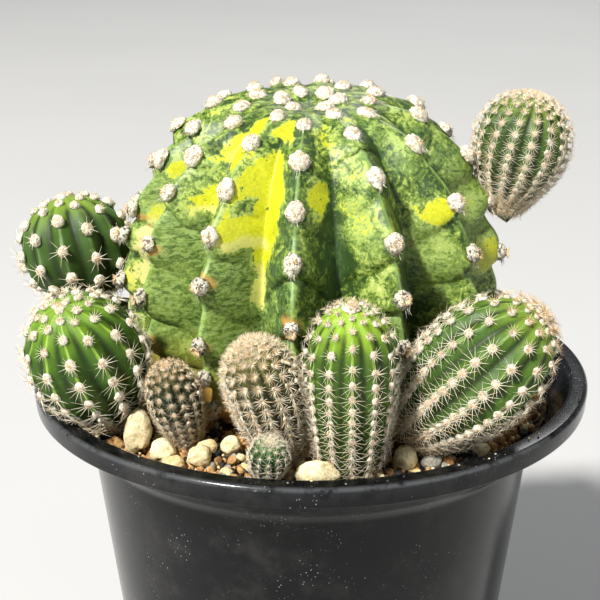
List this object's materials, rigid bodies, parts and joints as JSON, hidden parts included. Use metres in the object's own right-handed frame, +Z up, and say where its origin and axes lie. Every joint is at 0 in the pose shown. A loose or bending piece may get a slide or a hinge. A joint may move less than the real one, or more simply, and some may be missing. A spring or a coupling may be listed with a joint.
{
  "type": "potted round cactus",
  "caption": "Round ribbed variegated cactus with offsets around it, planted in gritty soil in a black plastic nursery pot.",
  "frame": {"origin": "middle of the pot's foot, on the surface that the pot stands on", "axes": "+Z up along the pot's axis; the plant's front, with most of its offsets, faces -Y; +X is to the right seen from the front"},
  "size_m": [0.155, 0.15, 0.201],
  "materials": {
    "pot_plastic": "gloss",
    "potting_grit": "matte",
    "variegated_skin": "satin",
    "offset_skin": "satin",
    "areole_wool": "matte",
    "spines": "satin",
    "pumice": "matte",
    "grey_grit": "matte",
    "akadama": "matte",
    "lava": "matte"
  },
  "bodies": {
    "root": {"pot": "pot_plastic", "soil": "potting_grit", "main_stem": "variegated_skin", "pup_upper_left": "offset_skin", "pup_front_left": "offset_skin", "pup_small_dark": "offset_skin", "pup_spiny": "offset_skin", "pup_columnar": "offset_skin", "pup_right": "offset_skin", "pup_shoulder": "offset_skin", "pup_tiny_front": "offset_skin", "pumice_long": "pumice", "pumice_round": "pumice", "pumice_small_wedge": "pumice", "pumice_wedge": "pumice", "pumice_pale": "pumice", "pumice_pale_lump": "pumice", "pumice_front": "pumice", "pumice_bead": "pumice", "pumice_yellow": "pumice", "pumice_right": "pumice", "pumice_chip": "pumice", "pumice_back_left": "pumice", "pumice_back_right": "pumice", "pumice_back": "pumice", "grit_grey": "grey_grit", "grit_grey_back": "grey_grit", "akadama_right": "akadama", "akadama_right_small": "akadama", "akadama_right_low": "akadama", "akadama_left": "akadama", "akadama_back": "akadama", "akadama_back_left": "akadama", "lava_right": "lava", "lava_back_right": "lava"}
  },
  "joints": []
}
